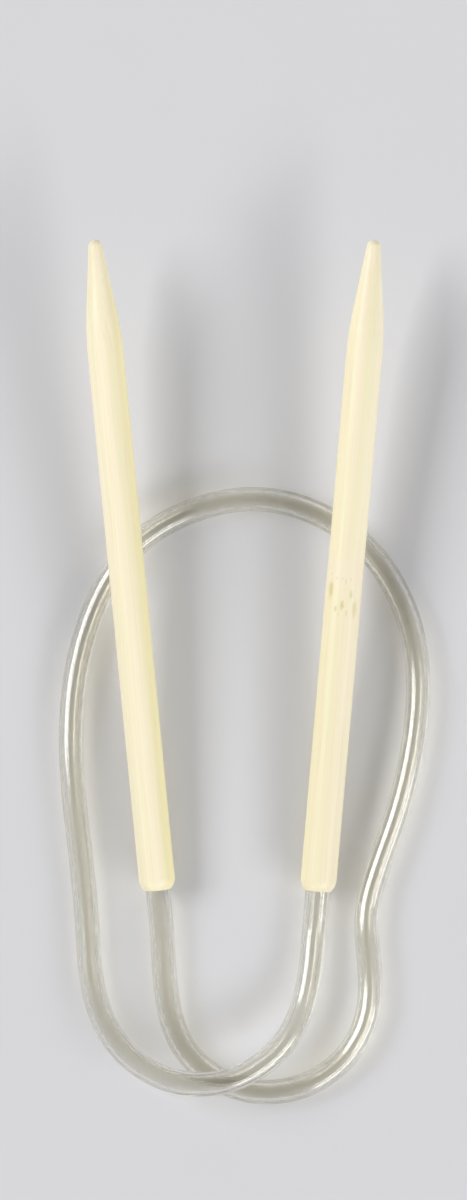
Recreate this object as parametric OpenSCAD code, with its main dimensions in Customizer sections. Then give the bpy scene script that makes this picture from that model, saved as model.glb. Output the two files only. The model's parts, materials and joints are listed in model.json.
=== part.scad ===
// Circular knitting needle: two wooden points joined by one clear, hollow tube.
// Millimetres, +Z up. It lies on a table at z = 0, points away from the viewer along +Y,
// and the origin is at the bottom centre of the two wooden points together.
// The tube is one free cord: left point, round the right side, along the arch, down the left
// side and back over its own start to the right point.

/* [Points] */
// Diameter of the straight shaft of each point
needle_d = 6.5; // [5.5:0.25:8]
// Length of each point, from the lip at its tail to its tip
needle_l = 118; // [100:1:135]
// Radius of the rounded tip
tip_r = 1.25; // [0.8:0.05:1.5]
// Half angle of the straight cone behind the tip, in degrees
cone_half = 7.2; // [6:0.2:9]
// Length over which the cone is rounded into the shaft
blend_l = 8; // [4:0.5:10]
// Width of the flat lip round the hole in the tail
lip_w = 0.15; // [0.1:0.05:0.3]

/* [Tube] */
// Outer diameter of the clear tube
tube_d = 4.4; // [3.4:0.1:4.8]
// Diameter of the hollow inside the tube
tube_bore = 2.4; // [1.6:0.1:2.8]
// Height left free between the two stretches of tube where one passes over the other
cross_gap = 0.6; // [0.5:0.1:1.5]

/* [Joint] */
// Length of tube seated in the drilled tail of each point
seat_l = 12; // [9:0.5:16]
// Room for glue all round the seated tube
glue_gap = 0.05; // [0.04:0.01:0.12]
// Room left between the end of the tube and the bottom of the drilled hole
seat_room = 0.4; // [0.2:0.1:1]
// Length of the stiffening pin inside the seated end of the tube
pin_l = 10; // [6:0.5:11]
// Room all round the pin inside the tube
pin_gap = 0.02; // [0.02:0.01:0.06]
// Bevel on both ends of the pin
pin_bevel = 0.3; // [0.1:0.05:0.5]

/* [Lay] */
// Turn of the left point away from +Y, in degrees, anticlockwise from above
left_yaw = 5.5; // [4:0.1:7]
// Turn of the right point away from +Y, in degrees, anticlockwise from above
right_yaw = -4.9; // [-7:0.1:-4]
// Height left free between each point and the arch of tube that it lies across
rest_gap = 0.9; // [0.8:0.05:1.4]

/* [Hidden] */
$fn = 96;

bamboo = [0.96, 0.91, 0.76];
metal = [0.80, 0.66, 0.36];
clear = [0.85, 0.88, 0.78, 0.55];

needle_r = needle_d / 2;
tube_r = tube_d / 2;
socket_d = tube_d + 2 * glue_gap;
lip_r = socket_d / 2 + lip_w;
// The tail is a ball of the shaft's own radius, cut off flat at the lip.
tail_l = sqrt(pow(needle_r, 2) - pow(lip_r, 2));
// A straight stub of tube, one diameter long, leaves each tail.
stub_l = tube_d;
// Angle of the drill's point at the bottom of the hole, measured from the axis
drill_half = 59;

// The cone behind the tip: where it leaves the tip's ball and where its rounding begins.
cone_start_r = tip_r * cos(cone_half);
cone_start_z = needle_l - tip_r * (1 - sin(cone_half));
cone_end_r = needle_r - blend_l * tan(cone_half / 2);
cone_end_z = cone_start_z - (cone_end_r - cone_start_r) / tan(cone_half);
blend_r = blend_l / sin(cone_half);
shaft_end_z = cone_end_z - blend_l;

// Distance from each lip to the arch of tube under the shaft
left_rest = 61.5;
right_rest = 65;
left_tilt = asin((tube_d + rest_gap) / (left_rest - tail_l));
right_tilt = asin((tube_d + rest_gap) / (right_rest - tail_l));

// Centre of each lip; the ball of the tail lies on the table.
left_tail = [-13.9, -58.3, needle_r - tail_l * sin(left_tilt)];
right_tail = [15, -58.5, needle_r - tail_l * sin(right_tilt)];
left_dir = aim(left_yaw, left_tilt);
right_dir = aim(right_yaw, right_tilt);

// Route of the tube: control points of a cubic B-spline, as x, y and climb, where a climb of 0
// lies on the table and a climb of 1 lies on top of another stretch of tube.
ROUTE = [
    [-12.6, -78.5, 0], [-9.8, -88, 0], [-0.7, -95, 0], [10.5, -95.5, 0], [20.2, -90, 0],
    [25, -80.5, 0], [24.3, -70.5, 0], [23.3, -62.5, 0], [26.2, -53.5, 0], [29.6, -44.5, 0],
    [32.3, -33.5, 0], [33.7, -21.5, 0], [32.1, -9.3, 0], [26, 2.3, 0], [16, 10, 0],
    [4, 13.2, 0], [-8, 10.7, 0], [-18.7, 4.5, 0], [-25.3, -6, 0], [-28.9, -18, 0],
    [-29.9, -30, 0], [-29.2, -42, 0], [-27.6, -54, 0], [-26.5, -66, 0], [-26.2, -76.5, 0],
    [-22, -87, 0.25], [-12.2, -93.7, 0.95], [0, -93.5, 1.15], [9.5, -86.8, 0.6],
    [13.3, -77.5, 0.12]
];
// Length of the straight run that leads out of each stub
lead_l = 5;
// Rings of the sweep in each span of the spline, and sides of each ring
span_rings = 2;
ring_sides = 12;
// Spans of the spline in each neck, next to a stub
neck_spans = 3;

left_out = left_tail - stub_l * left_dir;
right_out = right_tail - stub_l * right_dir;
control = concat(
    [left_out + lead_l * left_dir, left_out, on_table(left_out - lead_l * left_dir)],
    [for (p = ROUTE) [p[0], p[1], tube_r + p[2] * (tube_d + cross_gap)]],
    [on_table(right_out - lead_l * right_dir), right_out, right_out + lead_l * right_dir]
);
last = (len(control) - 3) * span_rings;
line = [for (i = [0:last])
    i == 0 ? left_out : i == last ? right_out : spline_at(i / span_rings)];
heading = [for (i = [0:last])
    i == 0 ? -left_dir
    : i == last ? right_dir
    : unit(line[i + 1] - line[i - 1])];
left_neck_end = neck_spans * span_rings;
right_neck_end = last - neck_spans * span_rings;

free_l = 2 * stub_l + sum([for (i = [1:last]) norm(line[i] - line[i - 1])]);
self_gap = min([for (i = [0:last]) for (j = [i + 4:1:last])
    let (d = norm(line[i] - line[j]))
    if (d > 0.1) d]) - tube_d;
echo(free_tube = free_l, tip_to_tip = free_l + 2 * needle_l, self_gap = self_gap);
echo(left_tilt = left_tilt, right_tilt = right_tilt, shaft = [tail_l, shaft_end_z]);
echo(left_tail = left_tail, left_dir = left_dir, left_out = left_out, neck = line[left_neck_end]);
echo(right_tail = right_tail, right_dir = right_dir, right_out = right_out,
     neck = line[right_neck_end]);

// Unit vector with a turn about +Z and a rise above the table
function aim(yaw, tilt) = [-sin(yaw) * cos(tilt), cos(yaw) * cos(tilt), sin(tilt)];

function unit(v) = v / norm(v);

function sum(v, i = 0) = i < len(v) ? v[i] + sum(v, i + 1) : 0;

// The same place, lifted if need be so that the tube doesn't sink into the table
function on_table(p) = [p[0], p[1], max(p[2], tube_r)];

// Point of the uniform cubic B-spline; whole values of u lie by control point u + 1
function spline_at(u) =
    let (i = min(floor(u), len(control) - 4), t = u - i)
    (pow(1 - t, 3) * control[i]
     + (3 * pow(t, 3) - 6 * pow(t, 2) + 4) * control[i + 1]
     + (-3 * pow(t, 3) + 3 * pow(t, 2) + 3 * t + 1) * control[i + 2]
     + pow(t, 3) * control[i + 3]) / 6;

// Points of one arc about [r, z], from angle a to angle b, in n steps
function arc(r, z, radius, a, b, n) =
    [for (k = [0:n]) let (g = a + (b - a) * k / n) [r + radius * cos(g), z + radius * sin(g)]];

// One ring of the sweep, square to its heading, with a flat side at the bottom
function ring(i, radius) =
    let (t = heading[i], side = unit([t[1], -t[0], 0]), up = cross(side, t),
         rr = radius / cos(180 / ring_sides))
    [for (k = [0:ring_sides - 1]) let (g = (k + 0.5) * 360 / ring_sides)
        line[i] + rr * (cos(g) * side + sin(g) * up)];

// A point stands on its tail at the origin, tip up.
module needle() {
    outline = concat(
        [[0, 0]],
        arc(0, tail_l, needle_r, -acos(lip_r / needle_r), 0, 8),
        arc(needle_r - blend_r, shaft_end_z, blend_r, 0, cone_half, 6),
        arc(0, needle_l - tip_r, tip_r, cone_half, 90, 9)
    );
    difference() {
        rotate_extrude() polygon(outline);
        translate([0, 0, -1]) cylinder(d = socket_d, h = seat_l + seat_room + 1);
        translate([0, 0, seat_l + seat_room])
            cylinder(d1 = socket_d, d2 = 0, h = socket_d / 2 / tan(drill_half));
    }
}

// The straight end of the tube, seated in a tail, with its stub outside.
module tube_end() {
    translate([0, 0, -stub_l]) difference() {
        cylinder(d = tube_d, h = seat_l + stub_l);
        translate([0, 0, -1]) cylinder(d = tube_bore, h = seat_l + stub_l + 2);
    }
}

// The pin starts level with the seated end of the tube.
module joint_pin() {
    r = tube_bore / 2 - pin_gap;
    translate([0, 0, seat_l - pin_l]) rotate_extrude() polygon([
        [0, 0], [r - pin_bevel, 0], [r, pin_bevel],
        [r, pin_l - pin_bevel], [r - pin_bevel, pin_l], [0, pin_l]
    ]);
}

module at_left() {
    translate(left_tail) rotate([left_tilt - 90, 0, left_yaw]) children();
}

module at_right() {
    translate(right_tail) rotate([right_tilt - 90, 0, right_yaw]) children();
}

// Hollow tube swept along the route from one ring to another
module sweep(from, to) {
    n = ring_sides;
    m = to - from + 1;
    outer = [for (i = [from:to]) each ring(i, tube_r)];
    inner = [for (i = [from:to]) each ring(i, tube_bore / 2)];
    base = n * m;
    walls = [for (j = [0:m - 2]) for (k = [0:n - 1])
        let (a = j * n + k, b = j * n + (k + 1) % n) each [
            [a, b, b + n], [a, b + n, a + n],
            [base + b, base + a, base + a + n], [base + b, base + a + n, base + b + n]
        ]];
    ends = [for (k = [0:n - 1])
        let (a = k, b = (k + 1) % n, c = base - n + k, d = base - n + (k + 1) % n) each [
            [b, a, base + a, base + b],
            [c, d, base + d, base + c]
        ]];
    polyhedron(concat(outer, inner), concat(walls, ends));
}

module left_needle() { color(bamboo) at_left() needle(); }
module right_needle() { color(bamboo) at_right() needle(); }
module left_joint_pin() { color(metal) at_left() joint_pin(); }
module right_joint_pin() { color(metal) at_right() joint_pin(); }
module left_tube_end() { color(clear) at_left() tube_end(); }
module right_tube_end() { color(clear) at_right() tube_end(); }
module left_tube_neck() { color(clear) sweep(0, left_neck_end); }
module right_tube_neck() { color(clear) sweep(right_neck_end, last); }
module tube_loop() { color(clear) sweep(left_neck_end, right_neck_end); }

left_needle();
right_needle();
left_joint_pin();
right_joint_pin();
left_tube_end();
right_tube_end();
left_tube_neck();
right_tube_neck();
tube_loop();
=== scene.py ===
"""Circular knitting needle: two turned bamboo points joined by a clear, hollow tube.

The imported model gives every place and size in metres, +Z up. The points are revolved from their own
profile, the tube is carried along the same route as its solids, and the stage is a pale table under
soft light, seen from straight above.
"""

import json
import math
from functools import reduce

import bpy
import numpy as np
from bpy.props import FloatProperty, FloatVectorProperty, IntProperty, PointerProperty
from bpy.types import Operator, Panel, PropertyGroup
from mathutils import Matrix, Vector


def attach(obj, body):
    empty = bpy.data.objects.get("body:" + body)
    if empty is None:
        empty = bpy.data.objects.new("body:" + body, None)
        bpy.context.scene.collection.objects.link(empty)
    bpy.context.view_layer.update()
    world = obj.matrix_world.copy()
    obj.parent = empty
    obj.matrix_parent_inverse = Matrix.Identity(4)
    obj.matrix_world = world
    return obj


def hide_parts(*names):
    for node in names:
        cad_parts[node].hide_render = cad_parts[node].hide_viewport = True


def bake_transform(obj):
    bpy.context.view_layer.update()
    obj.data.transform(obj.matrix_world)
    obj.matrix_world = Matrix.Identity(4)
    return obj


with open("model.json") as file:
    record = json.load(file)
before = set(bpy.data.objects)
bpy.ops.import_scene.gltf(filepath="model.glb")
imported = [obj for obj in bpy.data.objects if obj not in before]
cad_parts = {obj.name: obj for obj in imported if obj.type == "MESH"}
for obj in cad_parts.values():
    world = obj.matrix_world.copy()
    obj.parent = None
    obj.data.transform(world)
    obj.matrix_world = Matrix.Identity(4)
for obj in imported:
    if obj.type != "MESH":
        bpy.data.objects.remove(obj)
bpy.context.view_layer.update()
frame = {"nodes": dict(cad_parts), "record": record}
MOUNTS = {mount["name"]: mount for mount in frame["record"]["mounts"]}

bl_info = {
    "name": "Circular Knitting Needle",
    "version": (1, 0, 0),
    "blender": (4, 5, 0),
    "location": "View3D > Sidebar > Needle",
    "description": "Bamboo points, clear tube and a pale table for a circular knitting needle",
    "category": "Object",
}

MM = 0.001
SIDES = ("left", "right")

# How finely the points and the tube are cut.
POINT_SIDES = 96
TAIL_STEPS = 14
SHAFT_RINGS = 20
BLEND_STEPS = 14
TIP_STEPS = 16
TUBE_SIDES = 64
RINGS_PER_SPAN = 20
SEAT_RINGS = 23

# An edge that turns by more than this is a crisp rim.
CRISP_ANGLE = math.radians(60)
# Half angle of the drill's point at the bottom of a socket.
DRILL_HALF = math.radians(59)
# Depth of the ring of vertices just inside a socket's mouth.
MOUTH_DEPTH = 0.15 * MM
# Share of a neck, next to the loop, where the tube step works out a still place; nothing uses it.
STILL_SHARE = 0.05

# Control points of the tube's cubic B-spline: x and y in metres, and climb, where 0 lies on the table
# and 1 lies on top of another stretch of tube.
ROUTE = [
    (-0.0126, -0.0785, 0), (-0.0098, -0.0880, 0), (-0.0007, -0.0950, 0), (0.0105, -0.0955, 0),
    (0.0202, -0.0900, 0), (0.0250, -0.0805, 0), (0.0243, -0.0705, 0), (0.0233, -0.0625, 0),
    (0.0262, -0.0535, 0), (0.0296, -0.0445, 0), (0.0323, -0.0335, 0), (0.0337, -0.0215, 0),
    (0.0321, -0.0093, 0), (0.0260, 0.0023, 0), (0.0160, 0.0100, 0), (0.0040, 0.0132, 0),
    (-0.0080, 0.0107, 0), (-0.0187, 0.0045, 0), (-0.0253, -0.0060, 0), (-0.0289, -0.0180, 0),
    (-0.0299, -0.0300, 0), (-0.0292, -0.0420, 0), (-0.0276, -0.0540, 0), (-0.0265, -0.0660, 0),
    (-0.0262, -0.0765, 0), (-0.0220, -0.0870, 0.25), (-0.0122, -0.0937, 0.95),
    (0.0000, -0.0935, 1.15), (0.0095, -0.0868, 0.6), (0.0133, -0.0775, 0.12),
]

# Cycles of each pattern on its three axes. On the bamboo they count to the millimetre, with the third
# axis along the point. On the tube they count to the millimetre round it and along it, and the third
# isn't used. On the pins and the table they count to the metre.
BAND_SCALE = (0.50, 0.50, 0.008)
WARM_SCALE = (0.62, 0.62, 0.012)
FIBRE_SCALE = (4.5, 4.5, 0.045)
BUNDLE_SCALE = (1.9, 1.9, 0.045)
RAGGED_SCALE = (3.0, 3.0, 1.5)
SCATTER_SCALE = (1.1, 1.1, 0.42)
HAZE_SCALE = (0.4, 0.10, 1.0)
DRAWN_SCALE = (4.0, 0.03, 1.0)
TARNISH_SCALE = (900, 900, 900)
MOTTLE_SCALE = (60, 60, 60)
# Part of each noise, about 0 to 1, over which its pattern comes in. Bundles show among the fibres by a
# part of the fibres' noise, and fade out with the distance from the middle of their cell.
BAND_FADE = (0.42, 0.62)
WARM_FADE = (0.46, 0.66)
FIBRE_FADE = (0.44, 0.76)
BUNDLE_FADE = (0.30, 0.70)
CELL_FADE = (0.10, 0.34)
SCATTER_FADE = (0.56, 0.68)
HAZE_FADE = (0.45, 0.8)
TARNISH_FADE = (0.35, 0.75)

# How each point was cut from its cane: its material's name, the place of its pattern in millimetres, the
# places in millimetres to the left of its axis where the yellower, darker flank begins and is full, the
# share of that colour, and whether the point has a node. That flank is partly the rind's own colour and
# partly painted shade.
CUTS = {
    "left": {
        "material": "bamboo_plain", "pattern_place": (-23.0, 0.0, 5.0),
        "rind_and_shade_fade": (-0.4, -3.0), "rind_and_shade_share": 0.50, "has_node": False,
    },
    "right": {
        "material": "bamboo_with_node", "pattern_place": (18.4, 0.0, 5.0),
        "rind_and_shade_fade": (0.5, 3.75), "rind_and_shade_share": 0.24, "has_node": True,
    },
}

# Flecks on the upper side of the right point, at a node of the cane. Millimetres: place to the left of
# the axis, place along from the node's middle, half width and half length. Then strength, 0 to 1.
FLECKS = [
    (2.45, 3.9, 0.15, 0.35, 0.40), (1.40, 3.2, 0.20, 0.35, 0.45), (0.45, 3.2, 0.18, 0.35, 0.35),
    (-0.20, 2.7, 0.17, 0.50, 0.45), (-1.05, 3.1, 0.22, 0.30, 0.35), (2.35, 1.0, 0.42, 1.65, 0.90),
    (-1.30, 0.4, 0.32, 0.85, 0.70), (0.15, -1.6, 0.34, 0.85, 0.95), (1.25, -2.3, 0.26, 0.55, 0.75),
    (-0.75, -3.0, 0.15, 0.60, 0.55), (-2.15, -2.2, 0.46, 1.60, 0.55), (0.70, -3.3, 0.12, 0.30, 0.35),
]
# A fleck's colour is full within the first of these shares of its half size and gone past the second.
FLECK_FADE = (0.25, 1.45)
# How far noise moves the edge of a fleck, as a share of its half size.
FLECK_RAGGED = 0.9
# Strength of the flecks that are scattered underneath.
SCATTER_STRENGTH = 0.7
# The scattered flecks fade out with the distance along from the node's middle, and with the height over
# the point's axis, in millimetres.
NODE_FADE = (1.5, 4.5)
UNDER_FADE = (-0.6, 0.4)
# Place of the rosy blush from the node's middle towards the tip, and how it fades out along the point
# on both sides of that place, in millimetres.
BLUSH_PLACE = 4.0
BLUSH_FADE = (1.0, 4.0)

# Shift in millimetres of the inner wall's pattern, so that it isn't the outer wall's over again.
INNER_SHIFT = 40
# Heights of a direction, from -1 straight down to 1 straight up, between which the sky changes colour.
SKY_FADE = (-0.2, 0.9)


class PointSettings(PropertyGroup):
    """Sizes and colours of the two bamboo points."""

    tip_radius: FloatProperty(
        name="Tip radius", description="Radius of the rounded tip", default=1.25 * MM, unit="LENGTH")
    cone_half: FloatProperty(
        name="Cone half angle", description="Half angle of the straight cone behind the tip",
        default=math.radians(7.2), subtype="ANGLE")
    blend_length: FloatProperty(
        name="Blend length", description="Length over which the cone is rounded into the shaft",
        default=8 * MM, unit="LENGTH")
    socket_radius: FloatProperty(
        name="Socket radius", description="Radius of the hole drilled in the tail",
        default=2.25 * MM, unit="LENGTH")
    socket_depth: FloatProperty(
        name="Socket depth", description="Depth of the hole drilled in the tail, without its cone",
        default=12.4 * MM, unit="LENGTH")
    lip_width: FloatProperty(
        name="Lip width", description="Width of the flat lip round the hole", default=0.15 * MM,
        unit="LENGTH")
    node_place: FloatProperty(
        name="Node place", description="Distance of the cane's node from the lip of the right point",
        default=53.8 * MM, unit="LENGTH")
    pale: FloatVectorProperty(
        name="Pale bamboo", description="Colour between the fibres", default=(0.97, 0.885, 0.64),
        subtype="COLOR")
    green: FloatVectorProperty(
        name="Green band", description="Colour of the faint green bands", default=(0.845, 0.80, 0.50),
        subtype="COLOR")
    green_share: FloatProperty(
        name="Green share", description="Strength of the green bands", default=0.48, subtype="FACTOR")
    rose: FloatVectorProperty(
        name="Rose band", description="Colour of the faint warm bands", default=(0.95, 0.825, 0.63),
        subtype="COLOR")
    rose_share: FloatProperty(
        name="Rose share", description="Strength of the warm bands", default=0.45, subtype="FACTOR")
    # Colour of the yellower, darker flank: partly the rind's own colour, partly painted shade.
    rind_and_shade: FloatVectorProperty(
        name="Rind side", description="Colour on the side that lay next to the rind",
        default=(0.92, 0.84, 0.39), subtype="COLOR")
    fibre: FloatVectorProperty(
        name="Fibre", description="Colour of the darker fibres", default=(0.80, 0.68, 0.42),
        subtype="COLOR")
    fibre_share: FloatProperty(
        name="Fibre share", description="Strength of the fine fibres", default=0.32, subtype="FACTOR")
    bundle_share: FloatProperty(
        name="Bundle share", description="Strength of the bundles of fibres", default=0.24,
        subtype="FACTOR")
    blush_share: FloatProperty(
        name="Blush share", description="Strength of the rosy blush by the node", default=0.6,
        subtype="FACTOR")
    fleck: FloatVectorProperty(
        name="Fleck", description="Colour of the flecks at a node of the cane",
        default=(0.64, 0.58, 0.24), subtype="COLOR")
    fleck_share: FloatProperty(
        name="Fleck share", description="Strength of the flecks", default=0.75, subtype="FACTOR")
    roughness: FloatProperty(
        name="Roughness", description="Roughness of the sanded and waxed surface", default=0.44)
    fibre_roughness: FloatProperty(
        name="Fibre roughness", description="Range of roughness over the fine fibres", default=0.24)
    bundle_roughness: FloatProperty(
        name="Bundle roughness", description="Roughness that the bundles add", default=0.06)
    bundle_depth: FloatProperty(
        name="Bundle depth", description="Depth of the bundles as a share of the fibres' relief",
        default=0.35, subtype="FACTOR")


class TubeSettings(PropertyGroup):
    """Sizes and colours of the clear tube."""

    diameter: FloatProperty(
        name="Diameter", description="Outer diameter of the tube", default=4.4 * MM, unit="LENGTH")
    bore: FloatProperty(
        name="Bore", description="Diameter of the hollow inside", default=2.4 * MM, unit="LENGTH")
    seat: FloatProperty(
        name="Seat", description="Length seated in the drilled tail of each point", default=12 * MM,
        unit="LENGTH")
    cross_gap: FloatProperty(
        name="Crossing gap", description="Height left free where one stretch passes over another",
        default=0.6 * MM, unit="LENGTH")
    lead: FloatProperty(
        name="Lead", description="Straight run out of each stub", default=5 * MM, unit="LENGTH")
    neck_spans: IntProperty(
        name="Neck spans", description="Spans of the spline in the stretch that bends behind each point",
        default=3)
    tint: FloatVectorProperty(
        name="Tint", description="Faint colour of the clear plastic", default=(0.88, 0.87, 0.815),
        subtype="COLOR")
    shade: FloatVectorProperty(
        name="Shade", description="Light that each wall lets through to the table",
        default=(0.74, 0.73, 0.69), subtype="COLOR")
    refraction: FloatProperty(
        name="Index of refraction", description="How strongly the plastic bends light", default=1.52)
    roughness: FloatProperty(
        name="Roughness", description="Roughness of the plastic under its glossy skin", default=0.12)
    haze: FloatProperty(
        name="Haze", description="Roughness added in the hazy patches", default=0.06)


class PinSettings(PropertyGroup):
    """Finish of the hidden pins."""

    brass: FloatVectorProperty(
        name="Brass", description="Colour of the bare brass", default=(0.78, 0.62, 0.32),
        subtype="COLOR")
    tarnish: FloatVectorProperty(
        name="Tarnish", description="Colour of the tarnished patches", default=(0.55, 0.40, 0.20),
        subtype="COLOR")
    roughness: FloatProperty(
        name="Roughness", description="Roughness of the bare brass", default=0.28)
    tarnish_roughness: FloatProperty(
        name="Tarnish roughness", description="Roughness that the tarnish adds", default=0.2)


class StageSettings(PropertyGroup):
    """Camera, light and table."""

    view_height: FloatProperty(
        name="View height", description="Height of the picture on the table", default=217.4 * MM,
        unit="LENGTH")
    view_x: FloatProperty(
        name="View centre X", description="Middle of the picture", default=-0.23 * MM, unit="LENGTH")
    view_y: FloatProperty(
        name="View centre Y", description="Middle of the picture", default=-6.0 * MM, unit="LENGTH")
    camera_height: FloatProperty(
        name="Camera height", description="Height of the camera over the table", default=1.5,
        unit="LENGTH")
    table: FloatVectorProperty(
        name="Table", description="Colour of the table", default=(0.68, 0.68, 0.695), subtype="COLOR")
    mottle: FloatProperty(
        name="Mottle", description="Brightness of the table's darker patches", default=0.985,
        subtype="FACTOR")
    table_half: FloatProperty(
        name="Table half width", description="Distance from the table's middle to its edges",
        default=2.0, unit="LENGTH")
    table_drop: FloatProperty(
        name="Table drop", description="Gap that keeps the table's top clear of the needle",
        default=0.2 * MM, unit="LENGTH")
    sky: FloatProperty(
        name="Sky", description="Strength of the soft light from all round", default=0.8)
    horizon: FloatVectorProperty(
        name="Horizon", description="Colour of the sky at the horizon", default=(1.0, 1.0, 1.02),
        subtype="COLOR")
    zenith: FloatVectorProperty(
        name="Zenith", description="Colour of the sky overhead", default=(0.355, 0.355, 0.37),
        subtype="COLOR")
    key: FloatProperty(
        name="Key", description="Power of the main soft box", default=236.0, unit="POWER")
    key_place: FloatVectorProperty(
        name="Key place", description="Middle of the main soft box", default=(-4.75, 1.27, 3.85),
        subtype="TRANSLATION")
    key_size: FloatVectorProperty(
        name="Key size", description="Width and height of the main soft box", default=(3.50, 2.25),
        size=2, unit="LENGTH")
    fill: FloatProperty(
        name="Fill", description="Power of the second soft box", default=243.0, unit="POWER")
    fill_place: FloatVectorProperty(
        name="Fill place", description="Middle of the second soft box", default=(4.15, -3.47, 3.12),
        subtype="TRANSLATION")
    fill_size: FloatVectorProperty(
        name="Fill size", description="Width and height of the second soft box", default=(5.50, 1.50),
        size=2, unit="LENGTH")


class Value:
    """A socket of a node tree. Arithmetic on it adds Math nodes."""

    def __init__(self, tree, socket=None):
        self.tree = tree
        self.socket = socket

    def node(self, kind, settings=None, inputs=None, output=0):
        """Add a node of this type, set it up, then fill its sockets with numbers, colours or links."""
        made = self.tree.nodes.new(kind)
        for name, setting in (settings or {}).items():
            setattr(made, name, setting)
        for name, value in (inputs or {}).items():
            if isinstance(value, Value):
                self.tree.links.new(value.socket, made.inputs[name])
            else:
                made.inputs[name].default_value = value
        return Value(self.tree, made.outputs[output] if made.outputs else None)

    def math(self, operation, *values):
        """A Math node on these values."""
        return self.node("ShaderNodeMath", {"operation": operation}, dict(enumerate(values)))

    def __add__(self, other):
        return self.math("ADD", self, other)

    def __sub__(self, other):
        return self.math("SUBTRACT", self, other)

    def __rsub__(self, other):
        return self.math("SUBTRACT", other, self)

    def __mul__(self, other):
        return self.math("MULTIPLY", self, other)

    __radd__ = __add__
    __rmul__ = __mul__

    def __abs__(self):
        return self.math("ABSOLUTE", self)

    def larger(self, other):
        """The larger of this value and another."""
        return self.math("MAXIMUM", self, other)

    def step(self, begin, end):
        """0 at begin and before it, 1 at end and past it, and smooth between them."""
        return self.node("ShaderNodeMapRange", {"interpolation_type": "SMOOTHSTEP"},
                         {"Value": self, "From Min": begin, "From Max": end})

    def tint(self, under, over):
        """A colour mixed from under to over, with this value as the share of over."""
        return self.node("ShaderNodeMix", {"data_type": "RGBA"},
                         {0: self, 6: under, 7: over}, output=2)

    def moved(self, x, y, z):
        """This vector plus a number on each axis."""
        return self.node("ShaderNodeVectorMath", {"operation": "ADD"}, {0: self, 1: (x, y, z)})

    def scaled(self, x, y, z):
        """This vector times a number on each axis."""
        return self.node("ShaderNodeVectorMath", {"operation": "MULTIPLY"}, {0: self, 1: (x, y, z)})

    def length(self):
        """Length of this vector."""
        return self.node("ShaderNodeVectorMath", {"operation": "LENGTH"}, {0: self}, output="Value")

    def axis(self, name):
        """One part of this vector: X, Y or Z."""
        return self.node("ShaderNodeSeparateXYZ", {}, {0: self}, output=name)

    def noise(self, detail, roughness=0.5):
        """Noise at this vector, about 0 to 1."""
        return self.node("ShaderNodeTexNoise", {},
                         {"Vector": self, "Scale": 1.0, "Detail": detail, "Roughness": roughness})


def rgba(colour):
    """A colour's three numbers as a socket's four."""
    return (*colour, 1.0)


def new_material(name):
    """An empty material, and the start of its node expressions."""
    material = bpy.data.materials.new(name)
    material.use_nodes = True
    material.node_tree.nodes.clear()
    return material, Value(material.node_tree)


def principled(start, inputs):
    """A Principled shader."""
    return start.node("ShaderNodeBsdfPrincipled", {}, inputs)


def show(start, shader):
    """Put a shader on the material's surface."""
    start.node("ShaderNodeOutputMaterial", {}, {"Surface": shader})


def node_flecks(grain, node_place):
    """Share of fleck colour at the cane's node, which lies at node_place along the right point.

    On the upper side each fleck of FLECKS is a soft ellipsoid: the distance from its middle is divided
    by its half width, depth and half length, and fades out round 1. Underneath, stretched noise gives
    flecks of the same size, faded out away from the node.
    """
    radius = MOUNTS["right_shaft"]["dims"]["r_mm"]
    ragged = (grain.scaled(*RAGGED_SCALE).noise(detail=1.0) - 0.5) * FLECK_RAGGED
    flecks = []
    for x, z, half_width, half_length, strength in FLECKS:
        away = grain.moved(-x, -math.sqrt(radius ** 2 - x ** 2), -z - node_place)
        distance = away.scaled(1 / half_width, 1.0, 1 / half_length).length()
        flecks.append((1 - (distance + ragged).step(*FLECK_FADE)) * strength)
    near = 1 - abs(grain.axis("Z") - node_place).step(*NODE_FADE)
    under = 1 - grain.axis("Y").step(*UNDER_FADE)
    scattered = grain.scaled(*SCATTER_SCALE).noise(detail=1.0).step(*SCATTER_FADE)
    flecks.append(scattered * near * under * SCATTER_STRENGTH)
    return reduce(Value.larger, flecks)


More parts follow.
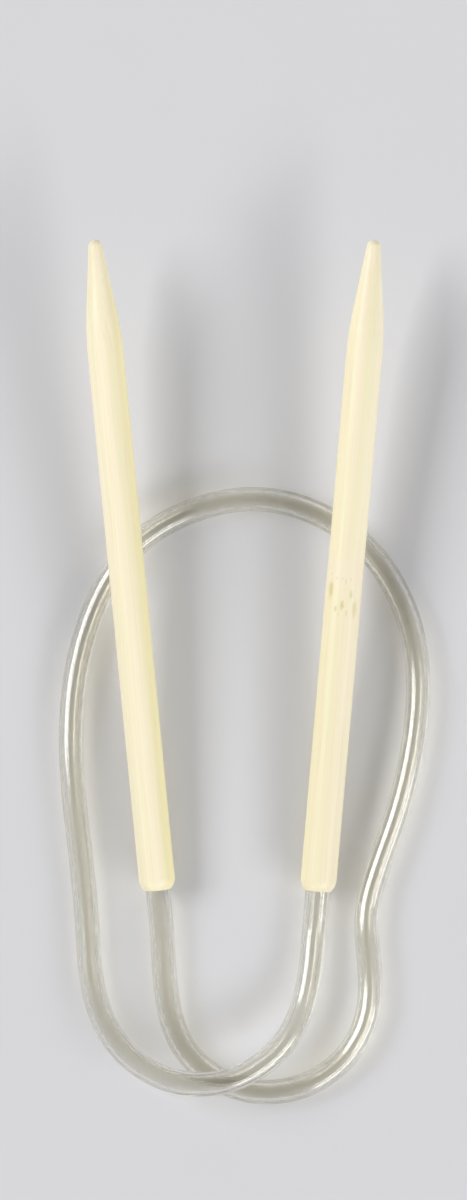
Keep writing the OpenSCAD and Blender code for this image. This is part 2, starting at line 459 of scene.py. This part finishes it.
def bamboo_material(settings, cut):
    """Split bamboo, turned and waxed: bands, fibres and bundles run along the point.

    The attribute "grain" holds each place in the point's own axes, in millimetres, with z along the
    point. Noise stretched along z gives soft green and rose bands and fine fibres, and stretched cells
    give the darker bundles, so the taper cuts across them as in solid cane. One flank is yellower and
    darker: partly the side that lay next to the rind, partly painted shade. Each colour is laid over
    those before it, by its own share.
    """
    material, start = new_material(cut["material"])
    grain = start.node("ShaderNodeAttribute", {"attribute_name": "grain"}, output="Vector")
    pattern = grain.moved(*cut["pattern_place"])
    bands = pattern.scaled(*BAND_SCALE).noise(detail=2.0).step(*BAND_FADE)
    warm = pattern.scaled(*WARM_SCALE).noise(detail=1.0).step(*WARM_FADE)
    fibres = pattern.scaled(*FIBRE_SCALE).noise(detail=4.0, roughness=0.65)
    cells = start.node(
        "ShaderNodeTexVoronoi", {}, {"Vector": pattern.scaled(*BUNDLE_SCALE), "Scale": 1.0})
    bundles = 1 - cells.step(*CELL_FADE)
    # Mask of the yellower, darker flank: partly the rind's own colour, partly painted shade.
    rind_and_shade = grain.axis("X").step(*cut["rind_and_shade_fade"])
    layers = [
        (bands * settings.green_share, settings.green),
        (warm * settings.rose_share, settings.rose),
        (rind_and_shade * cut["rind_and_shade_share"], settings.rind_and_shade),
        (fibres.step(*FIBRE_FADE) * settings.fibre_share, settings.fibre),
        (bundles * fibres.step(*BUNDLE_FADE) * settings.bundle_share, settings.fibre),
    ]
    if cut["has_node"]:
        node_place = settings.node_place / MM
        blush = 1 - abs(grain.axis("Z") - (node_place + BLUSH_PLACE)).step(*BLUSH_FADE)
        layers.append((blush * settings.blush_share, settings.rose))
        layers.append((node_flecks(grain, node_place) * settings.fleck_share, settings.fleck))
    colour = rgba(settings.pale)
    for share, over in layers:
        colour = share.tint(colour, rgba(over))
    rough = (settings.roughness + (fibres - 0.5) * settings.fibre_roughness
             + bundles * settings.bundle_roughness)
    height = fibres - bundles * settings.bundle_depth
    relief = start.node(
        "ShaderNodeBump", {}, {"Strength": 0.14, "Distance": 0.02 * MM, "Height": height})
    show(start, principled(start, {
        "Base Color": colour, "Roughness": rough, "Normal": relief,
        "Coat Weight": 0.10, "Coat Roughness": 0.30, "Specular IOR Level": 0.42,
    }))
    return material


def tube_material(settings):
    """Clear extruded plastic: faint haze and fine lines along the tube, under a glossy skin.

    The UV map runs round the tube in u and along it in v, in millimetres. Light from the lamps passes
    straight through, a little tinted, so that the shadow on the table stays as pale as a clear tube's.
    """
    material, start = new_material("clear_plastic")
    place = start.node("ShaderNodeUVMap", {"uv_map": "run"})
    haze = place.scaled(*HAZE_SCALE).noise(detail=3.0)
    lines = place.scaled(*DRAWN_SCALE).noise(detail=2.0)
    rough = settings.roughness + haze.step(*HAZE_FADE) * settings.haze
    relief = start.node(
        "ShaderNodeBump", {}, {"Strength": 0.05, "Distance": 0.01 * MM, "Height": lines})
    plastic = principled(start, {
        "Base Color": rgba(settings.tint), "Roughness": rough, "Normal": relief,
        "Transmission Weight": 1.0, "IOR": settings.refraction,
        "Coat Weight": 0.6, "Coat Roughness": 0.04,
    })
    passed = start.node("ShaderNodeBsdfTransparent", {}, {"Color": rgba(settings.shade)})
    lamp_ray = start.node("ShaderNodeLightPath", output="Is Shadow Ray")
    show(start, start.node("ShaderNodeMixShader", {}, {0: lamp_ray, 1: plastic, 2: passed}))
    return material


def seam_material():
    """Lets all light straight on, so that the clear wall shows no break where two stretches meet."""
    material, start = new_material("tube_seam")
    show(start, principled(start, {"Alpha": 0.0}))
    return material


def pin_material(settings):
    """Brass with a little tarnish, which is darker and rougher."""
    material, start = new_material("pin_brass")
    place = start.node("ShaderNodeTexCoord", output="Object")
    tarnish = place.scaled(*TARNISH_SCALE).noise(detail=3.0)
    colour = tarnish.step(*TARNISH_FADE).tint(rgba(settings.brass), rgba(settings.tarnish))
    rough = settings.roughness + tarnish * settings.tarnish_roughness
    show(start, principled(start, {"Base Color": colour, "Metallic": 1.0, "Roughness": rough}))
    return material


def table_material(colour, mottle):
    """Pale matt table top with barely seen patches, darker by the factor mottle."""
    material, start = new_material("pale_table")
    place = start.node("ShaderNodeTexCoord", output="Object")
    patches = place.scaled(*MOTTLE_SCALE).noise(detail=3.0)
    shade = patches.tint(rgba(colour), rgba(level * mottle for level in colour))
    show(start, principled(
        start, {"Base Color": shade, "Roughness": 0.85, "Specular IOR Level": 0.2}))
    return material


def mesh_piece(name, vertices, faces, material):
    """A smooth mesh object with crisp rims, at the origin, with its place in its vertices."""
    mesh = bpy.data.meshes.new(name)
    mesh.from_pydata(vertices, [], faces)
    mesh.polygons.foreach_set("use_smooth", np.ones(len(mesh.polygons), bool))
    mesh.materials.append(material)
    mesh.update()
    mesh.set_sharp_from_angle(angle=CRISP_ANGLE)
    piece = bpy.data.objects.new(name, mesh)
    bpy.context.scene.collection.objects.link(piece)
    return piece


def ring_angles(sides):
    """Angles round a ring of vertices, from its underside on."""
    return np.arange(sides) * 2 * math.pi / sides - math.pi / 2


def ring_steps(sides):
    """Numbers of a ring's vertices, and of the next vertex round from each."""
    side = np.arange(sides)
    return side, (side + 1) % sides


def ring_faces(rings, sides, first=0):
    """Quads between neighbouring rings of a closed grid whose vertices start at first."""
    ring = np.arange(rings - 1)[:, None] * sides
    side, after = ring_steps(sides)
    quads = np.stack([ring + side, ring + after, ring + sides + after, ring + sides + side], axis=-1)
    return (first + quads.reshape(-1, 4)).tolist()


def arc(centre, radius, begin, end, steps):
    """Places (r, z) on a circle about centre, from angle begin to angle end."""
    angle = np.linspace(begin, end, steps)
    return np.stack([centre[0] + radius * np.cos(angle), centre[1] + radius * np.sin(angle)], axis=1)


class Point:
    """One bamboo point's axes and lengths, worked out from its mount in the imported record."""

    def __init__(self, side, settings):
        mount = MOUNTS[f"{side}_shaft"]
        self.radius = mount["dims"]["r_mm"] * MM
        self.along = np.array(mount["axis"]) / np.linalg.norm(mount["axis"])
        self.left = np.cross((0.0, 0.0, 1.0), self.along)
        self.left /= np.linalg.norm(self.left)
        self.up = np.cross(self.along, self.left)
        self.lip_radius = settings.socket_radius + settings.lip_width
        self.tail = math.sqrt(self.radius ** 2 - self.lip_radius ** 2)
        self.shaft_end = self.tail + mount["dims"]["length_mm"] * MM
        self.lip = np.array(mount["pos_m"]) - self.along * (self.tail + self.shaft_end) / 2

    def place(self, local):
        """Local x, y, z, with z from the lip to the tip, as places in the model."""
        return self.lip + local @ np.stack([self.left, self.up, self.along])

    def outside(self, distance):
        """The place on the axis this far out of the lip, away from the tip."""
        return self.lip - distance * self.along


def point_profile(point, settings):
    """Outline (r, z) of a point, from the bottom of its socket round the lip to its tip.

    Socket: a drilled cylinder with a cone. Tail: an arc of the shaft's own radius. Then the shaft, an
    arc of radius blend_length / sin(cone_half), a straight cone and the ball of the tip.
    """
    half = settings.cone_half
    blend_radius = settings.blend_length / math.sin(half)
    cone_end_r = point.radius - settings.blend_length * math.tan(half / 2)
    cone_length = (cone_end_r - settings.tip_radius * math.cos(half)) / math.tan(half)
    cone_end = point.shaft_end + settings.blend_length + cone_length
    ball_z = cone_end - settings.tip_radius * math.sin(half)
    drill_cone = settings.socket_radius / math.tan(DRILL_HALF)
    socket = np.array([
        (0, settings.socket_depth + drill_cone),
        (settings.socket_radius, settings.socket_depth),
        (settings.socket_radius, MOUTH_DEPTH),
    ])
    mouth = np.array([(settings.socket_radius, 0), (point.lip_radius, 0)])
    tail_angle = -math.acos(point.lip_radius / point.radius)
    tail = arc((0, point.tail), point.radius, tail_angle, 0, TAIL_STEPS)
    shaft_z = np.linspace(point.tail, point.shaft_end, SHAFT_RINGS + 2)[1:-1]
    shaft = np.stack([np.full(SHAFT_RINGS, point.radius), shaft_z], axis=1)
    blend = arc((point.radius - blend_radius, point.shaft_end), blend_radius, 0, half, BLEND_STEPS)
    tip = arc((0, ball_z), settings.tip_radius, half, math.pi / 2, TIP_STEPS)
    tip[-1, 0] = 0
    return np.concatenate([socket, mouth, tail[1:], shaft, blend, tip])


def revolve(profile, sides):
    """Vertices and faces of a profile (r, z) turned about z, with both ends closed at a pole.

    A vertex lies at x = r cos(angle), y = r sin(angle) and z.
    """
    angle = ring_angles(sides)
    rim = profile[1:-1]
    radius = rim[:, :1]
    height = np.repeat(rim[:, 1:], sides, axis=1)
    grid = np.stack([radius * np.cos(angle), radius * np.sin(angle), height], axis=-1)
    poles = np.array([(0, 0, profile[0, 1]), (0, 0, profile[-1, 1])])
    vertices = np.concatenate([grid.reshape(-1, 3), poles])
    last = (len(rim) - 1) * sides
    side, after = ring_steps(sides)
    bottom, top = len(vertices) - 2, len(vertices) - 1
    fans = [np.stack([after, side, np.full(sides, bottom)], axis=1),
            np.stack([last + side, last + after, np.full(sides, top)], axis=1)]
    return vertices, ring_faces(len(rim), sides) + np.concatenate(fans).tolist()


def make_point(side, material, settings):
    """One turned bamboo point, with the attribute "grain" in millimetres for its material."""
    point = Point(side, settings)
    local, faces = revolve(point_profile(point, settings), POINT_SIDES)
    piece = mesh_piece(f"{side}_bamboo_point", point.place(local), faces, material)
    grain = piece.data.attributes.new("grain", "FLOAT_VECTOR", "POINT")
    grain.data.foreach_set("vector", (local / MM).astype(np.float32).ravel())
    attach(piece, f"{side}_needle")
    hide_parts(f"{side}_needle")


def spline(control, u):
    """Uniform cubic B-spline at parameters u; a whole u lies by control point u + 1.

    Each place is the mean of four neighbouring control points, weighted by cubics of t, the part of u
    past its whole number.
    """
    span = np.minimum(u.astype(int), len(control) - 4)
    t = (u - span)[:, None]
    weights = ((1 - t) ** 3, 3 * t ** 3 - 6 * t ** 2 + 4, -3 * t ** 3 + 3 * t ** 2 + 3 * t + 1, t ** 3)
    return sum(weight * control[span + k] for k, weight in enumerate(weights)) / 6


def tube_lines(tube, points):
    """Centrelines of the tube's left end, loop and right end, each from the left point's side on.

    Straight seats and stubs follow the points' axes, and the rest is the spline of ROUTE.
    """
    radius = tube.diameter / 2
    out = {side: points[side].outside(tube.diameter) for side in SIDES}
    steps = {side: tube.lead * points[side].along for side in SIDES}
    middle = [(x, y, radius + climb * (tube.diameter + tube.cross_gap)) for x, y, climb in ROUTE]
    control = np.array([
        out["left"] + steps["left"], out["left"], out["left"] - steps["left"], *middle,
        out["right"] - steps["right"], out["right"], out["right"] + steps["right"]])
    spans = len(control) - 3
    line = spline(control, np.linspace(0, spans, spans * RINGS_PER_SPAN + 1))
    neck = tube.neck_spans * RINGS_PER_SPAN
    straight = np.linspace(-tube.seat, tube.diameter, SEAT_RINGS + 1)[:-1, None]
    seats = {side: points[side].outside(straight) for side in SIDES}
    return {
        "left": np.concatenate([seats["left"], line[:neck + 1]]),
        "loop": line[neck:-neck],
        "right": np.concatenate([line[-neck - 1:], seats["right"][::-1]]),
    }


def headings(lines):
    """Unit heading at each place of each line, the same on both sides of a seam."""
    whole = np.concatenate([lines["left"], lines["loop"][1:], lines["right"][1:]])
    heading = np.gradient(whole, axis=0)
    heading /= np.linalg.norm(heading, axis=1)[:, None]
    first = len(lines["left"])
    second = first + len(lines["loop"]) - 1
    return {"left": heading[:first], "loop": heading[first - 1:second], "right": heading[second - 1:]}


def distances(line):
    """Distance along a line of points to each of them."""
    return np.concatenate([[0], np.cumsum(np.linalg.norm(np.diff(line, axis=0), axis=1))])


def sweep(line, heading, radius, sides):
    """Rings of a round profile carried along a line, square to its heading, as a grid of vertices.

    A vertex lies radius times (cos(angle) left + sin(angle) up) from its place on the line, where left
    is level, and left and up are square to the heading.
    """
    left = np.stack([-heading[:, 1], heading[:, 0], np.zeros(len(heading))], axis=1)
    left /= np.linalg.norm(left, axis=1)[:, None]
    up = np.cross(heading, left)
    angle = ring_angles(sides)
    rings = np.cos(angle)[None, :, None] * left[:, None] + np.sin(angle)[None, :, None] * up[:, None]
    return line[:, None] + radius * rings


def wrap_tube(mesh, line, diameter, sides):
    """Give a tube's walls the UV map "run": round the tube in u and along it in v, in millimetres.

    u falls to 0 half way round and rises again, so that it has no jump where the ring closes.
    """
    turn = np.abs(np.arange(sides) / sides - 0.5) * 2 * math.pi * diameter / MM
    run = distances(line) / MM
    outer = np.stack(np.broadcast_arrays(turn[None, :], run[:, None]), axis=-1).reshape(-1, 2)
    uv = np.concatenate([outer, outer + INNER_SHIFT])
    corner = np.empty(len(mesh.loops), np.int32)
    mesh.loops.foreach_get("vertex_index", corner)
    mesh.uv_layers.new(name="run").data.foreach_set("uv", uv[corner].astype(np.float32).ravel())


def make_tube(name, line, heading, materials, tube, meets):
    """A hollow stretch of tube: an outer and an inner wall along a line, closed by a ring at each end.

    The two values of meets say whether the first and the last ring meet another stretch. Such a ring
    wears the second of the materials, and everything else wears the first.
    """
    sides = TUBE_SIDES
    rings = len(line)
    outer = sweep(line, heading, tube.diameter / 2, sides)
    inner = sweep(line, heading, tube.bore / 2, sides)
    count = rings * sides
    vertices = np.concatenate([outer.reshape(-1, 3), inner.reshape(-1, 3)])
    walls = ring_faces(rings, sides) + [quad[::-1] for quad in ring_faces(rings, sides, count)]
    side, after = ring_steps(sides)
    first = np.stack([after, side, count + side, count + after], axis=1)
    last = np.stack([side, after, count + after, count + side], axis=1) + count - sides
    piece = mesh_piece(name, vertices, walls + first.tolist() + last.tolist(), materials[0])
    piece.data.materials.append(materials[1])
    worn = np.repeat([0, *meets], [len(walls), sides, sides])
    piece.data.polygons.foreach_set("material_index", worn.astype(np.int32))
    wrap_tube(piece.data, line, tube.diameter, sides)
    return piece


class NEEDLE_OT_points(Operator):
    """Turn the two bamboo points."""

    bl_idname = "needle.points"
    bl_label = "Bamboo Points"

    def execute(self, context):
        settings = context.scene.needle_point
        for side, cut in CUTS.items():
            make_point(side, bamboo_material(settings, cut), settings)
        return {"FINISHED"}


class NEEDLE_OT_pins(Operator):
    """Give the hidden pins their brass."""

    bl_idname = "needle.pins"
    bl_label = "Joint Pins"

    def execute(self, context):
        brass = pin_material(context.scene.needle_pin)
        for side in SIDES:
            pin = frame["nodes"][f"{side}_joint_pin"]
            pin.data.materials.clear()
            pin.data.materials.append(brass)
        return {"FINISHED"}


class NEEDLE_OT_tube(Operator):
    """Lay the clear tube along its route, in two ends and one loop."""

    bl_idname = "needle.tube"
    bl_label = "Clear Tube"

    def execute(self, context):
        tube = context.scene.needle_tube
        points = {side: Point(side, context.scene.needle_point) for side in SIDES}
        lines = tube_lines(tube, points)
        ways = headings(lines)
        materials = tube_material(tube), seam_material()
        meetings = {"left": (False, True), "loop": (True, True), "right": (True, False)}
        pieces = {
            key: make_tube(f"clear_tube_{key}", lines[key], ways[key], materials, tube, meets)
            for key, meets in meetings.items()
        }
        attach(pieces["loop"], "tube")
        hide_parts("tube_loop")
        seams = {"left": lines["left"][-1], "right": lines["right"][0]}
        for side in SIDES:
            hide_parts(f"{side}_tube_end", f"{side}_tube_neck")
            stub_end = points[side].outside(tube.diameter)
            still = seams[side] + STILL_SHARE * (stub_end - seams[side])
            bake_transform(pieces[side])
        return {"FINISHED"}


def make_table(stage):
    """A flat square table top, a little below the needle."""
    corners = np.array([(-1, -1, 0), (1, -1, 0), (1, 1, 0), (-1, 1, 0)]) * stage.table_half
    material = table_material(stage.table, stage.mottle)
    table = mesh_piece("table", corners - (0, 0, stage.table_drop), [(0, 1, 2, 3)], material)


def sky_world(stage):
    """A soft sky, paler at the horizon than overhead."""
    world = bpy.data.worlds.new("soft_sky")
    world.use_nodes = True
    world.node_tree.nodes.clear()
    start = Value(world.node_tree)
    direction = start.node("ShaderNodeTexCoord", output="Generated")
    colour = direction.axis("Z").step(*SKY_FADE).tint(rgba(stage.horizon), rgba(stage.zenith))
    background = start.node("ShaderNodeBackground", {}, {"Color": colour, "Strength": stage.sky})
    start.node("ShaderNodeOutputWorld", {}, {"Surface": background})
    bpy.context.scene.world = world


def soft_box(name, place, target, size, power):
    """A rectangular soft box aimed at a target, not seen by the camera itself."""
    lamp = bpy.data.lights.new(name, "AREA")
    lamp.shape = "RECTANGLE"
    lamp.size, lamp.size_y = size
    lamp.energy = power
    box = bpy.data.objects.new(name, lamp)
    box.location = place
    box.rotation_euler = (Vector(target) - Vector(place)).to_track_quat("-Z", "Y").to_euler()
    box.visible_camera = False
    bpy.context.scene.collection.objects.link(box)


def make_camera(stage):
    """A camera that looks straight down, whose picture is view_height high on the table."""
    lens = bpy.data.cameras.new("camera")
    lens.lens = lens.sensor_width * stage.camera_height / stage.view_height
    camera = bpy.data.objects.new("camera", lens)
    camera.matrix_world = Matrix.Translation((stage.view_x, stage.view_y, stage.camera_height))
    bpy.context.scene.collection.objects.link(camera)
    bpy.context.scene.camera = camera


class NEEDLE_OT_stage(Operator):
    """Set the camera straight above the table, with soft light."""

    bl_idname = "needle.stage"
    bl_label = "Table, Light and Camera"

    def execute(self, context):
        stage = context.scene.needle_stage
        context.scene.view_settings.view_transform = "Standard"
        make_table(stage)
        sky_world(stage)
        middle = (stage.view_x, stage.view_y, 0.0)
        soft_box("key_box", stage.key_place, middle, stage.key_size, stage.key)
        soft_box("fill_box", stage.fill_place, middle, stage.fill_size, stage.fill)
        make_camera(stage)
        return {"FINISHED"}


class NEEDLE_PT_panel(Panel):
    """Sidebar panel with one button for each group of pieces."""

    bl_idname = "NEEDLE_PT_panel"
    bl_label = "Circular Knitting Needle"
    bl_space_type = "VIEW_3D"
    bl_region_type = "UI"
    bl_category = "Needle"

    def draw(self, context):
        for operator in (NEEDLE_OT_stage, NEEDLE_OT_tube, NEEDLE_OT_points, NEEDLE_OT_pins):
            self.layout.operator(operator.bl_idname)


CLASSES = (
    PointSettings, TubeSettings, PinSettings, StageSettings,
    NEEDLE_OT_stage, NEEDLE_OT_tube, NEEDLE_OT_points, NEEDLE_OT_pins, NEEDLE_PT_panel,
)


def register():
    """Add the classes to Blender, and their settings to its scenes."""
    for cls in CLASSES:
        bpy.utils.register_class(cls)
    bpy.types.Scene.needle_point = PointerProperty(type=PointSettings)
    bpy.types.Scene.needle_tube = PointerProperty(type=TubeSettings)
    bpy.types.Scene.needle_pin = PointerProperty(type=PinSettings)
    bpy.types.Scene.needle_stage = PointerProperty(type=StageSettings)


def unregister():
    """Take away what register added."""
    del bpy.types.Scene.needle_stage
    del bpy.types.Scene.needle_pin
    del bpy.types.Scene.needle_tube
    del bpy.types.Scene.needle_point
    for cls in reversed(CLASSES):
        bpy.utils.unregister_class(cls)


def main():
    """Build the stage and the pieces in order."""
    register()
    bpy.ops.needle.stage()
    bpy.ops.needle.tube()
    bpy.ops.needle.points()
    bpy.ops.needle.pins()


if __name__ == "__main__":
    main()
